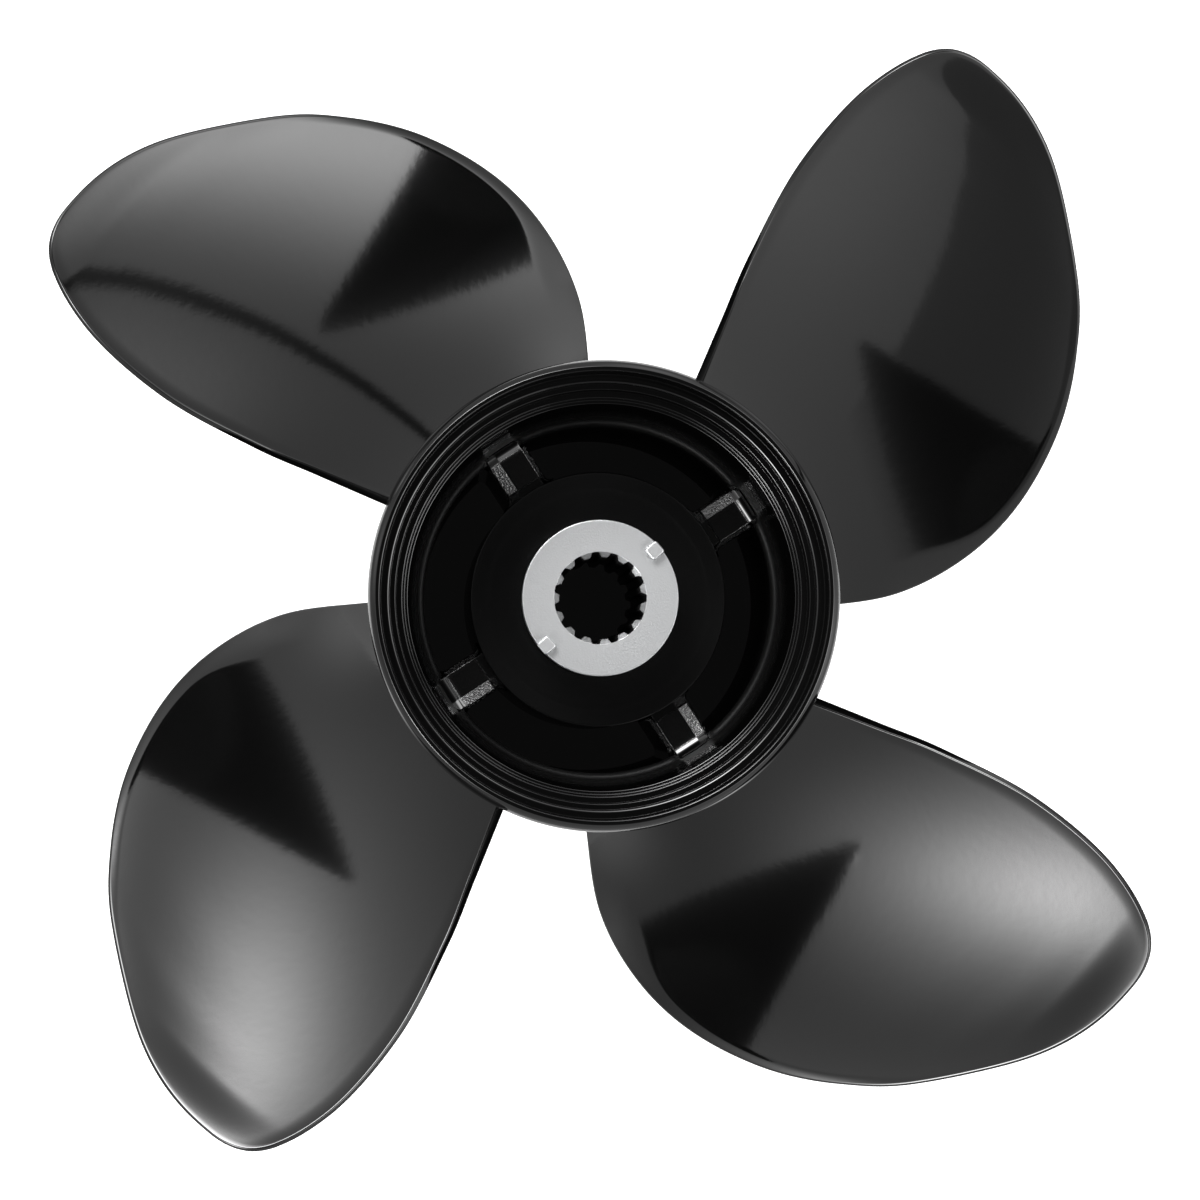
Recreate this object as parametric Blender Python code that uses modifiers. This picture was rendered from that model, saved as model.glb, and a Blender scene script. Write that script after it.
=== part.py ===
# Four-blade, through-hub-exhaust boat propeller for an outboard motor, right-hand, 14.5 x 19 inch.
# The shaft axis is Z, the aft end is up, and the origin is on the axis in the plane of the front rim.
# Metres throughout. Lengths below are written in millimetres times MM.

import math

import bmesh
import bpy
import numpy as np

MM = 0.001
INCH = 25.4 * MM
DEG = math.pi / 180
GAP = 0.3 * MM

# Driving dimensions
DIAMETER = 14.5 * INCH
PITCH = 19.0 * INCH
TIP_RADIUS = DIAMETER / 2
HUB_LENGTH = 6.75 * INCH
BLADES = 4

# Hub barrel, a thin wall that flares like a trumpet to the aft rim
FRONT_RADIUS = 57.0 * MM
WAIST_RADIUS = 55.0 * MM
FLARE_START = HUB_LENGTH - 75.0 * MM
RIM_RADIUS = 63.9 * MM
RIM_ROUND_DEPTH = 7.0 * MM
RIM_EDGE_RADIUS = 61.6 * MM
PASSAGE_RADIUS = 50.2 * MM
PASSAGE_MOUTH = HUB_LENGTH - 57.0 * MM
PASSAGE_LIP = 1.2 * MM
COUNTERBORE_RADIUS = 54.0 * MM
COUNTERBORE_DEPTH = 8.0 * MM
COUNTERBORE_TAPER = 2.5 * MM
FRONT_CHAMFER = 1.2 * MM
# Steps inside the flare, as radius and depth below the aft rim, from the passage mouth up
FLARE_STEPS = (
    (51.0, 57.0), (53.7, 26.0), (55.3, 24.0), (56.6, 17.4),
    (57.1, 16.7), (57.9, 14.4), (59.0, 13.4), (61.0, 0.8),
)

# Ribs, inner hub and rubber bush
RIB_TOP = HUB_LENGTH - 60.0 * MM
RIB_BOTTOM = 24.0 * MM
RIB_WIDTH = 10.6 * MM
RIB_CHAMFER = 3.0 * MM
RIB_EDGE = 1.1 * MM
RIB_ANGLE = 33.0 * DEG
INNER_HUB_TOP = HUB_LENGTH - 56.5 * MM
INNER_HUB_BOTTOM = 16.0 * MM
INNER_HUB_RADIUS = 37.6 * MM
INNER_HUB_FACE_RADIUS = 36.0 * MM
INNER_HUB_EDGE = 0.5 * MM
INNER_HUB_BORE = 31.5 * MM
BUSH_TOP = INNER_HUB_TOP - 1.5 * MM
BUSH_BOTTOM = 26.0 * MM

# Splined sleeve
SLEEVE_TOP = HUB_LENGTH - 36.0 * MM
SLEEVE_BOTTOM = 22.0 * MM
SLEEVE_RADIUS = 18.5 * MM
COLLAR_RADIUS = 21.85 * MM
COLLAR_HEIGHT = 15.0 * MM
SPLINE_TEETH = 15
SPLINE_ROOT = 12.95 * MM
SPLINE_TIP = 11.45 * MM
SPLINE_CHAMFER = 1.5 * MM
LUG_SIDE = 4.1 * MM
LUG_HEIGHT = 2.4 * MM
LUG_RADIUS = 20.1 * MM
LUG_ANGLES = (41.2 * DEG, 221.2 * DEG)

# Blade: where the straight generator line stands at the reference angle, and how it leans aft towards the
# tip. The hollow of the face is given as a slope: in the middle of the span, then how much it grows towards
# the trailing edge and towards the tip.
BLADE_ANGLE = 33.0 * DEG
TIP_DROP = 57.8 * MM
RAKE = 0.38
ROOT_THICKNESS = 13.0 * MM
TIP_THICKNESS = 3.0 * MM
LEADING_EDGE_THICKNESS = 1.8 * MM
TRAILING_EDGE_ROOT_THICKNESS = 3.4 * MM
TRAILING_EDGE_TIP_THICKNESS = 1.8 * MM
HOLLOW = 0.041
HOLLOW_TO_TRAILING_EDGE = 0.123
HOLLOW_TO_TIP = 0.079
HOLLOW_TO_BOTH = -0.071
HOLLOW_MIDDLE = 120.0 * MM
HOLLOW_HALF_SPAN = 60.0 * MM
HOLLOW_FADE = 18.15 * MM
CUP_HEIGHT = 0.8 * MM
CUP_WIDTH = 6.0 * MM
CUP_FULL_CHORD = 60.0 * MM

# Blade outline seen from aft, as angle and radius: trailing edge from the root to the tip, then back
# down the leading edge.
OUTLINE = (
    (65.8, 52.0), (66.2, 69.0), (66.4, 87.0), (66.5, 106.5), (65.4, 135.0), (62.3, 162.5),
    (57.9, 181.0), (51.8, 184.15), (44.2, 179.4), (33.8, 166.8), (27.0, 157.0), (20.0, 145.3),
    (12.8, 130.0), (6.8, 113.3), (1.7, 93.0), (-0.8, 69.0), (-1.8, 52.0),
)
BLADE_RADII = (
    62.0, 72.0, 84.0, 97.0, 110.0, 123.0, 135.5, 147.0,
    157.0, 165.0, 171.5, 176.5, 180.0, 182.3, 183.6,
)
CHORD_STEPS = 16

TURNED_STEPS = 72
BORE_STEPS = 60


def linear(hex_colour):
    """Linear RGBA of an sRGB hex colour."""
    channels = [int(hex_colour[i:i + 2], 16) / 255 for i in (0, 2, 4)]
    return [c / 12.92 if c <= 0.04045 else ((c + 0.055) / 1.055) ** 2.4 for c in channels] + [1.0]


def make_material(name, hex_colour, roughness, metallic):
    material = bpy.data.materials.new(name)
    material.use_nodes = True
    shader = material.node_tree.nodes["Principled BSDF"]
    shader.inputs["Base Color"].default_value = linear(hex_colour)
    shader.inputs["Roughness"].default_value = roughness
    shader.inputs["Metallic"].default_value = metallic
    return material


def add_object(name, mesh, collection, material=None):
    piece = bpy.data.objects.new(name, mesh)
    collection.objects.link(piece)
    if material:
        mesh.materials.append(material)
    return piece


def shade_round(mesh):
    mesh.shade_smooth()
    mesh.set_sharp_from_angle(angle=35 * DEG)


def add_turned(name, profile, collection, material=None, steps=TURNED_STEPS):
    """A ring turned about Z from a closed profile of (radius, height), down the outer side first."""
    mesh = bpy.data.meshes.new(name)
    points = [(radius, 0.0, height) for radius, height in profile]
    edges = [(i, (i + 1) % len(points)) for i in range(len(points))]
    mesh.from_pydata(points, edges, [])
    piece = add_object(name, mesh, collection, material)
    screw = piece.modifiers.new("turn", "SCREW")
    screw.steps = steps
    screw.render_steps = steps
    screw.use_merge_vertices = True
    screw.merge_threshold = 0.00001
    screw.use_smooth_shade = True
    return piece


def set_as_cutter(piece):
    piece.hide_render = True
    piece.display_type = "WIRE"


def add_boolean(piece, operation, cutter):
    cut = piece.modifiers.new(operation.lower(), "BOOLEAN")
    cut.operation = operation
    cut.object = cutter


def barrel_radius(height):
    """Outer radius of the barrel: it narrows slowly from the front, then flares up to the aft rim."""
    flare_length = HUB_LENGTH - RIM_ROUND_DEPTH - FLARE_START
    below = np.clip((FLARE_START - height) / FLARE_START, 0, None)
    above = np.clip((height - FLARE_START) / flare_length, 0, None)
    taper = (FRONT_RADIUS - WAIST_RADIUS) * below ** 2
    flare = (RIM_RADIUS - WAIST_RADIUS) * above ** 2
    return WAIST_RADIUS + taper + flare


def add_hub_barrel(collection, material):
    round_angles = np.linspace(math.pi / 2, 0, 6)
    round_width = RIM_RADIUS - RIM_EDGE_RADIUS
    round_radii = RIM_EDGE_RADIUS + round_width * np.cos(round_angles)
    round_heights = HUB_LENGTH - RIM_ROUND_DEPTH * (1 - np.sin(round_angles))
    flare_heights = np.linspace(HUB_LENGTH - RIM_ROUND_DEPTH, FLARE_START, 7)[1:]
    side_heights = np.linspace(FLARE_START, FRONT_CHAMFER, 5)[1:]
    outer_heights = np.concatenate([flare_heights, side_heights])
    profile = list(zip(round_radii.tolist(), round_heights.tolist()))
    profile += list(zip(barrel_radius(outer_heights).tolist(), outer_heights.tolist()))
    profile += [(FRONT_RADIUS - FRONT_CHAMFER, 0.0), (COUNTERBORE_RADIUS, 0.0)]
    profile += [(COUNTERBORE_RADIUS, COUNTERBORE_DEPTH)]
    profile += [(PASSAGE_RADIUS, COUNTERBORE_DEPTH + COUNTERBORE_TAPER)]
    profile += [(PASSAGE_RADIUS, PASSAGE_MOUTH - PASSAGE_LIP)]
    profile += [(radius * MM, HUB_LENGTH - depth * MM) for radius, depth in FLARE_STEPS]
    return add_turned("hub_barrel", profile, collection, material)


def add_inner_hub(collection, material):
    profile = [
        (INNER_HUB_FACE_RADIUS - INNER_HUB_EDGE, INNER_HUB_TOP),
        (INNER_HUB_FACE_RADIUS, INNER_HUB_TOP - INNER_HUB_EDGE),
        (INNER_HUB_RADIUS, INNER_HUB_BOTTOM + MM),
        (INNER_HUB_RADIUS - MM, INNER_HUB_BOTTOM),
        (INNER_HUB_BORE, INNER_HUB_BOTTOM),
        (INNER_HUB_BORE, INNER_HUB_TOP),
    ]
    return add_turned("inner_hub", profile, collection, material)


def add_rubber_bush(collection, material):
    profile = [
        (INNER_HUB_BORE - GAP, BUSH_TOP),
        (INNER_HUB_BORE - GAP, BUSH_BOTTOM),
        (SLEEVE_RADIUS + GAP, BUSH_BOTTOM),
        (SLEEVE_RADIUS + GAP, BUSH_TOP),
    ]
    return add_turned("rubber_bush", profile, collection, material, BORE_STEPS)


def add_spline_cutter(collection):
    """A long prism whose outline has one flat-topped tooth gap for each of the spline's teeth."""
    pitch_angle = 2 * math.pi / SPLINE_TEETH
    inside = SPLINE_TIP - GAP
    tooth = ((-0.34, SPLINE_ROOT), (-0.18, inside), (0.18, inside), (0.34, SPLINE_ROOT))
    outline = bpy.data.curves.new("spline_outline", "CURVE")
    outline.dimensions = "2D"
    outline.fill_mode = "BOTH"
    outline.extrude = HUB_LENGTH
    spline = outline.splines.new("POLY")
    spline.points.add(SPLINE_TEETH * len(tooth) - 1)
    for number in range(SPLINE_TEETH):
        centre = math.pi + number * pitch_angle
        for corner, (share, radius) in enumerate(tooth):
            angle = centre + share * pitch_angle
            point = spline.points[number * len(tooth) + corner]
            point.co = (radius * math.cos(angle), radius * math.sin(angle), 0.0, 1.0)
    spline.use_cyclic_u = True
    drawn = bpy.data.objects.new("spline_outline", outline)
    collection.objects.link(drawn)
    bpy.context.view_layer.update()
    evaluated = drawn.evaluated_get(bpy.context.evaluated_depsgraph_get())
    mesh = bpy.data.meshes.new_from_object(evaluated)
    work = bmesh.new()
    work.from_mesh(mesh)
    bmesh.ops.remove_doubles(work, verts=work.verts, dist=0.01 * MM)
    bmesh.ops.recalc_face_normals(work, faces=work.faces)
    work.to_mesh(mesh)
    work.free()
    bpy.data.objects.remove(drawn)
    cutter = add_object("spline_cutter", mesh, collection)
    set_as_cutter(cutter)
    return cutter


def add_spline_sleeve(collection, cutters, material):
    edge = 0.5 * MM
    profile = [
        (COLLAR_RADIUS - edge, SLEEVE_TOP),
        (COLLAR_RADIUS, SLEEVE_TOP - edge),
        (COLLAR_RADIUS, SLEEVE_TOP - COLLAR_HEIGHT),
        (SLEEVE_RADIUS, SLEEVE_TOP - COLLAR_HEIGHT),
        (SLEEVE_RADIUS, SLEEVE_BOTTOM),
        (SPLINE_ROOT + 0.1 * MM, SLEEVE_BOTTOM),
        (SPLINE_TIP, SLEEVE_BOTTOM + SPLINE_CHAMFER),
        (SPLINE_TIP, SLEEVE_TOP - SPLINE_CHAMFER),
        (SPLINE_ROOT + 0.1 * MM, SLEEVE_TOP),
    ]
    sleeve = add_turned("spline_sleeve", profile, collection, material, BORE_STEPS)
    add_boolean(sleeve, "DIFFERENCE", add_spline_cutter(cutters))
    return sleeve


def add_lock_lugs(collection, material):
    mesh = bpy.data.meshes.new("lock_lug")
    work = bmesh.new()
    bmesh.ops.create_cube(work, size=1.0)
    bmesh.ops.scale(work, vec=(LUG_SIDE, LUG_SIDE, LUG_HEIGHT), verts=work.verts)
    top_edges = [e for e in work.edges if all(v.co.z > 0 for v in e.verts)]
    bmesh.ops.bevel(work, geom=top_edges, offset=0.35 * MM, segments=2, affect="EDGES", profile=0.5)
    work.to_mesh(mesh)
    work.free()
    mesh.materials.append(material)
    for number, angle in enumerate(LUG_ANGLES, start=1):
        lug = add_object(f"lock_lug_{number}", mesh, collection)
        height = SLEEVE_TOP + GAP + LUG_HEIGHT / 2
        lug.location = (LUG_RADIUS * math.cos(angle), LUG_RADIUS * math.sin(angle), height)
        lug.rotation_euler = (0.0, 0.0, angle)


def add_passage_ring(collection):
    """The space between the inner hub and the barrel, which trims the ribs to length."""
    profile = [
        (PASSAGE_RADIUS - GAP, HUB_LENGTH),
        (PASSAGE_RADIUS - GAP, 0.0),
        (INNER_HUB_RADIUS + GAP, 0.0),
        (INNER_HUB_RADIUS + GAP, INNER_HUB_BOTTOM),
        (INNER_HUB_FACE_RADIUS + GAP, INNER_HUB_TOP),
        (INNER_HUB_FACE_RADIUS + GAP, HUB_LENGTH),
    ]
    ring = add_turned("passage_ring", profile, collection)
    set_as_cutter(ring)
    return ring


def add_ribs(collection, cutters, material):
    """Four ribs that carry the inner hub, with a wide and a narrow chamfer on the aft end of each."""
    ring = add_passage_ring(cutters)
    length = RIB_TOP - RIB_BOTTOM
    reach = RIM_RADIUS - INNER_HUB_BORE
    for number in range(BLADES):
        mesh = bpy.data.meshes.new(f"rib_{number + 1}")
        work = bmesh.new()
        bmesh.ops.create_cube(work, size=1.0)
        bmesh.ops.scale(work, vec=(reach, RIB_WIDTH, length), verts=work.verts)
        shift = (INNER_HUB_BORE + reach / 2, 0.0, RIB_BOTTOM + length / 2)
        bmesh.ops.translate(work, vec=shift, verts=work.verts)
        for side, offset in ((1, RIB_CHAMFER), (-1, RIB_EDGE)):
            aft = [e for e in work.edges if all(v.co.z > RIB_TOP - MM for v in e.verts)]
            edge = [e for e in aft if all(v.co.y * side > RIB_WIDTH / 2 - MM for v in e.verts)]
            bmesh.ops.bevel(work, geom=edge, offset=offset, segments=1, affect="EDGES")
        work.to_mesh(mesh)
        work.free()
        rib = add_object(f"rib_{number + 1}", mesh, collection, material)
        rib.rotation_euler = (0.0, 0.0, RIB_ANGLE + number * 2 * math.pi / BLADES)
        add_boolean(rib, "INTERSECT", ring)


def smooth_outline():
    """The outline's points joined by a Catmull-Rom curve in plan, as arrays of angle and radius."""
    table = np.array(OUTLINE)
    angle = table[:, 0] * DEG
    radius = table[:, 1] * MM
    plan = np.stack([radius * np.cos(angle), radius * np.sin(angle)], axis=1)
    padded = np.vstack([2 * plan[0] - plan[1], plan, 2 * plan[-1] - plan[-2]])
    share = np.linspace(0, 1, 30, endpoint=False)[:, None]
    pieces = []
    for a, b, c, d in zip(padded[:-3], padded[1:-2], padded[2:-1], padded[3:]):
        slope = (c - a) * share
        bend = (2 * a - 5 * b + 4 * c - d) * share ** 2
        twist = (3 * b - a - 3 * c + d) * share ** 3
        pieces.append(b + 0.5 * (slope + bend + twist))
    curve = np.vstack(pieces)
    curve_radius = np.hypot(curve[:, 0], curve[:, 1])
    curve_angle = np.arctan2(curve[:, 1], curve[:, 0])
    return curve_angle, curve_radius * TIP_RADIUS / curve_radius.max()


def pressure_face_height(radius, angle):
    """Helicoid height: it climbs one pitch a turn, and its straight generator leans aft towards the tip."""
    inward = radius - TIP_RADIUS
    generator = HUB_LENGTH - TIP_DROP + RAKE * inward
    return generator + PITCH * (angle - BLADE_ANGLE) / (2 * math.pi)


def hollow_depth(radius, width, share):
    """How far the face lies below the helicoid, share running from leading to trailing edge over the width."""
    outward = (radius - HOLLOW_MIDDLE) / HOLLOW_HALF_SPAN
    slope = HOLLOW + HOLLOW_TO_TRAILING_EDGE * share
    slope = slope + outward * (HOLLOW_TO_TIP + HOLLOW_TO_BOTH * share)
    fade = min(1.0, (TIP_RADIUS - radius) / HOLLOW_FADE)
    return width * share * (1 - share) * slope * fade ** 2 * (3 - 2 * fade)


def blade_section(radius, leading, trailing):
    """Points round one section: the pressure face from leading to trailing edge, then the back.

    The face is hollow, more so towards the trailing edge, with a small cup over the last millimetres. The
    outline holds what shows from aft, so the face stops short of it by the blunt trailing edge's width.
    """
    slope = PITCH / (2 * math.pi * radius)
    steep = math.hypot(1, slope)
    fullness = (TIP_RADIUS - radius) / (TIP_RADIUS - WAIST_RADIUS)
    blunt = TRAILING_EDGE_TIP_THICKNESS
    blunt += (TRAILING_EDGE_ROOT_THICKNESS - TRAILING_EDGE_TIP_THICKNESS) * fullness ** 2
    trailing = trailing - min(blunt * slope / steep / radius, 0.4 * (trailing - leading))
    share = 0.5 - 0.5 * np.cos(np.linspace(0, math.pi, CHORD_STEPS))
    angle = leading + (trailing - leading) * share
    face = pressure_face_height(radius, angle)
    chord = (trailing - leading) * radius * steep
    from_edge = chord * (1 - share)
    hollow = hollow_depth(radius, (trailing - leading) * radius, share)
    cup = CUP_HEIGHT * min(1.0, (chord / CUP_FULL_CHORD) ** 2)
    face = face - hollow + cup * np.clip(1 - from_edge / CUP_WIDTH, 0, 1) ** 2
    middle = TIP_THICKNESS + (ROOT_THICKNESS - TIP_THICKNESS) * fullness
    edge = LEADING_EDGE_THICKNESS + (blunt - LEADING_EDGE_THICKNESS) * share
    thickness = edge + (middle - edge) * (4 * share * (1 - share)) ** 0.8
    back_angle = angle + thickness * slope / steep / radius
    back = face - thickness / steep
    front = np.stack([radius * np.cos(angle), radius * np.sin(angle), face], axis=1)
    rear = np.stack([radius * np.cos(back_angle), radius * np.sin(back_angle), back], axis=1)
    return np.vstack([front, rear[::-1]])


def root_cap(root, first):
    """Points and faces that close the root: a middle row keeps the cap on the barrel's round surface."""
    front = root[:CHORD_STEPS]
    rear = root[:CHORD_STEPS - 1:-1]
    angle = (np.arctan2(front[:, 1], front[:, 0]) + np.arctan2(rear[:, 1], rear[:, 0])) / 2
    height = (front[:, 2] + rear[:, 2]) / 2
    reach = barrel_radius(height) + GAP
    middle = np.stack([reach * np.cos(angle), reach * np.sin(angle), height], axis=1)[1:-1]
    last = 2 * CHORD_STEPS - 1
    inner = len(middle)
    faces = [(0, 1, first), (0, first, last), (first, last - 1, last)]
    for column in range(inner - 1):
        near, far = column + 1, last - 1 - column
        faces.append((near, near + 1, first + column + 1, first + column))
        faces.append((first + column, first + column + 1, far - 1, far))
    end = first + inner - 1
    faces += [(inner, inner + 1, end), (end, inner + 1, inner + 2), (end, inner + 2, inner + 3)]
    return middle, faces


def make_blade_mesh(material):
    """Loft of sections at growing radius, from the barrel's surface to the tip, capped at both ends."""
    outline_angle, outline_radius = smooth_outline()
    tip = int(np.argmax(outline_radius))
    trailing_side = outline_radius[:tip], outline_angle[:tip]
    leading_side = outline_radius[:tip:-1], outline_angle[:tip:-1]
    radii = [WAIST_RADIUS] + [r * MM for r in BLADE_RADII]
    sections = []
    for radius in radii:
        trailing = np.interp(radius, *trailing_side)
        leading = np.interp(radius, *leading_side)
        sections.append(blade_section(radius, leading, trailing))
    root = sections[0]
    reach = barrel_radius(root[:, 2]) + GAP
    root[:, :2] *= (reach / np.hypot(root[:, 0], root[:, 1]))[:, None]
    ring_size = 2 * CHORD_STEPS
    faces = []
    for row in range(len(sections) - 1):
        for column in range(ring_size):
            beside = (column + 1) % ring_size
            low, high = row * ring_size, (row + 1) * ring_size
            faces.append((low + column, low + beside, high + beside, high + column))
    start = (len(sections) - 1) * ring_size
    for column in range(CHORD_STEPS - 1):
        across = ring_size - 1 - column
        faces.append((start + column, start + column + 1, start + across - 1, start + across))
    middle, cap_faces = root_cap(root, len(sections) * ring_size)
    points = np.vstack(sections + [middle])
    mesh = bpy.data.meshes.new("blade")
    mesh.from_pydata(points.tolist(), [], faces + cap_faces)
    work = bmesh.new()
    work.from_mesh(mesh)
    bmesh.ops.triangulate(work, faces=work.faces)
    bmesh.ops.recalc_face_normals(work, faces=work.faces)
    work.to_mesh(mesh)
    work.free()
    mesh.materials.append(material)
    shade_round(mesh)
    return mesh


def add_blades(collection, material):
    mesh = make_blade_mesh(material)
    for number in range(BLADES):
        blade = add_object(f"blade_{number + 1}", mesh, collection)
        blade.rotation_euler = (0.0, 0.0, number * 2 * math.pi / BLADES)


def main():
    for old in list(bpy.data.objects):
        bpy.data.objects.remove(old)
    parts = bpy.data.collections.new("boat_propeller")
    cutters = bpy.data.collections.new("cutters")
    bpy.context.scene.collection.children.link(parts)
    bpy.context.scene.collection.children.link(cutters)
    enamel = make_material("black_enamel", "0B0C0D", 0.18, 0.0)
    rubber = make_material("black_rubber", "0A0A0A", 0.75, 0.0)
    steel = make_material("machined_steel", "C6C7C9", 0.35, 1.0)
    add_hub_barrel(parts, enamel)
    add_inner_hub(parts, enamel)
    add_ribs(parts, cutters, enamel)
    add_blades(parts, enamel)
    add_rubber_bush(parts, rubber)
    add_spline_sleeve(parts, cutters, steel)
    add_lock_lugs(parts, steel)


main()
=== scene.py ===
# Dressed model of a four-blade outboard propeller, standing on its front rim and seen from aft.
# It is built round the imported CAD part. Lengths are in millimetres in the CAD frame, and make_piece
# turns them to metres: the shaft axis is Z, the aft end is up, and the front rim is at height 0.
import math

import bmesh
import bpy
import numpy as np
from mathutils import Matrix, Vector


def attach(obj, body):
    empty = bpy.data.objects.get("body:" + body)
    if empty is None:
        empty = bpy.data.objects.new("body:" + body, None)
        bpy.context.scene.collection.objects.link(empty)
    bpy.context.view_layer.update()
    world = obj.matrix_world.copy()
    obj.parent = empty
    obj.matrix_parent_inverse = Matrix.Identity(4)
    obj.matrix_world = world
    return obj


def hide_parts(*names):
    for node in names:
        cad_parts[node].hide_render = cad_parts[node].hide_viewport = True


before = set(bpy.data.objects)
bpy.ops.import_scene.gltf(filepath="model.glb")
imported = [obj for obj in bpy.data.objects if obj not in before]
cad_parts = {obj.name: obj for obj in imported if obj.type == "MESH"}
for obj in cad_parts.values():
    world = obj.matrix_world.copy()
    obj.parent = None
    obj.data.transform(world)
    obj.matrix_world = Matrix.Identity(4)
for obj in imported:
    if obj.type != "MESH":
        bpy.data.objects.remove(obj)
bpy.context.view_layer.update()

MM = 0.001
DEG = math.pi / 180
TURN = 2 * math.pi
BLADES = 4
QUARTER = TURN / BLADES

# Sizes that the CAD part has too, apart from RIM_RADIUS and INNER_HUB_FACE_RADIUS, which are fitted to the
# photo
HUB_LENGTH = 171.45
PITCH = 482.6
TIP_RADIUS = 184.15
WAIST_RADIUS = 55.0
FRONT_RADIUS = 57.0
FLARE_START = HUB_LENGTH - 75.0
RIM_RADIUS = 64.5
RIM_ROUND_DEPTH = 7.0
PASSAGE_RADIUS = 50.2
INNER_HUB_RADIUS = 37.6
INNER_HUB_FACE_RADIUS = 36.15
INNER_HUB_TOP = HUB_LENGTH - 56.5
INNER_HUB_BORE = 31.5
RIB_TOP = HUB_LENGTH - 60.0
RIB_BOTTOM = 24.0
RIB_ANGLE = 33.0 * DEG
SLEEVE_TOP = HUB_LENGTH - 36.0
SLEEVE_BOTTOM = 22.0
COLLAR_RADIUS = 21.85
SLEEVE_RADIUS = 18.5
SPLINE_TEETH = 15
SPLINE_TIP = 11.45
TOOTH_HEIGHT = 1.5
LUG_RADIUS = 20.1
LUG_ANGLES = (41.2 * DEG, 221.2 * DEG)


def linear(hex_colour):
    """Linear RGBA of an sRGB hex colour."""
    channels = [int(hex_colour[i:i + 2], 16) / 255 for i in (0, 2, 4)]
    return [c / 12.92 if c <= 0.04045 else ((c + 0.055) / 1.055) ** 2.4 for c in channels] + [1.0]


def smooth_step(low, high, value):
    """0 below low, 1 above high, and 3t^2 - 2t^3 between them."""
    t = np.clip((value - low) / (high - low), 0, 1)
    return t * t * (3 - 2 * t)


def unit(vectors):
    return vectors / np.maximum(np.linalg.norm(vectors, axis=-1, keepdims=True), 1e-12)


def turn_about_axis(angle):
    """Transposed matrix of a turn round the shaft axis, for points in rows."""
    cosine, sine = math.cos(angle), math.sin(angle)
    return np.array([[cosine, -sine, 0], [sine, cosine, 0], [0, 0, 1]]).T


# Meshes from grids of points

def grid_quads(rows, columns, closed_rows, closed_columns):
    """Corner numbers of the quads between the points of a grid, read row by row."""
    row = np.arange(rows if closed_rows else rows - 1)[:, None]
    column = np.arange(columns if closed_columns else columns - 1)[None, :]
    above = (row + 1) % rows
    beside = (column + 1) % columns
    corners = (
        row * columns + column, row * columns + beside, above * columns + beside, above * columns + column)
    return np.stack(np.broadcast_arrays(*corners), axis=-1).reshape(-1, 4)


# Points nearer than WELD are one point, and an edge shorter than FOLD goes
WELD = 0.002
FOLD = 0.0005


def make_piece(name, grids, material, replaced, sharp=32):
    """One closed mesh from grids of points in millimetres, each (points, closed_rows, closed_columns).

    Points of neighbouring grids that meet are welded, folded quads go, and the faces turn outwards.
    """
    points = np.concatenate([grid.reshape(-1, 3) for grid, _, _ in grids]) * MM
    starts = np.cumsum([0] + [grid.shape[0] * grid.shape[1] for grid, _, _ in grids])
    quads = np.concatenate([
        grid_quads(grid.shape[0], grid.shape[1], rows, columns) + start
        for (grid, rows, columns), start in zip(grids, starts)
    ])
    mesh = bpy.data.meshes.new(name)
    mesh.vertices.add(len(points))
    mesh.vertices.foreach_set("co", points.ravel())
    mesh.loops.add(quads.size)
    mesh.loops.foreach_set("vertex_index", quads.ravel())
    mesh.polygons.add(len(quads))
    mesh.polygons.foreach_set("loop_start", np.arange(0, quads.size, 4))
    mesh.update(calc_edges=True)
    mesh.validate()
    work = bmesh.new()
    work.from_mesh(mesh)
    bmesh.ops.remove_doubles(work, verts=work.verts, dist=WELD * MM)
    bmesh.ops.dissolve_degenerate(work, edges=work.edges, dist=FOLD * MM)
    bmesh.ops.recalc_face_normals(work, faces=work.faces)
    open_edges = sum(1 for edge in work.edges if len(edge.link_faces) != 2)
    if open_edges:
        print("open edges in", name, open_edges)
    work.to_mesh(mesh)
    work.free()
    mesh.materials.append(material)
    mesh.shade_smooth()
    mesh.set_sharp_from_angle(angle=sharp * DEG)
    piece = bpy.data.objects.new(name, mesh)
    bpy.context.scene.collection.objects.link(piece)
    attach(piece, "root")
    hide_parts(*replaced)


def rounded(corners, steps=5):
    """A closed outline from (radius, height, cut) corners: each corner becomes the parabola that starts
    and ends a cut's length from it, on its two sides. One more point on each side, a quarter of the way to
    the side's middle, keeps the rounding's shading off the straight part."""
    table = np.array(corners, float)
    point = table[:, :2]
    to_last = np.roll(point, 1, axis=0) - point
    to_next = np.roll(point, -1, axis=0) - point
    half_last = np.linalg.norm(to_last, axis=1) / 2
    half_next = np.linalg.norm(to_next, axis=1) / 2
    reach_last = np.minimum(table[:, 2], 0.9 * half_last)
    reach_next = np.minimum(table[:, 2], 0.9 * half_next)
    start = (point + unit(to_last) * reach_last[:, None])[:, None]
    end = (point + unit(to_next) * reach_next[:, None])[:, None]
    before = start + (unit(to_last) * (0.25 * (half_last - reach_last))[:, None])[:, None]
    after = end + (unit(to_next) * (0.25 * (half_next - reach_next))[:, None])[:, None]
    t = np.linspace(0, 1, steps)[None, :, None]
    arc = (1 - t) ** 2 * start + 2 * t * (1 - t) * point[:, None] + t ** 2 * end
    return np.concatenate([before, arc, after], axis=1).reshape(-1, 2)


def resampled(outline, step):
    """The same closed outline with points added so that no side is longer than the step."""
    after = np.roll(outline, -1, axis=0)
    counts = np.maximum(np.ceil(np.linalg.norm(after - outline, axis=1) / step), 1).astype(int)
    share = np.concatenate([np.arange(count) / count for count in counts])[:, None]
    return np.repeat(outline, counts, axis=0) * (1 - share) + np.repeat(after, counts, axis=0) * share


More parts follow.
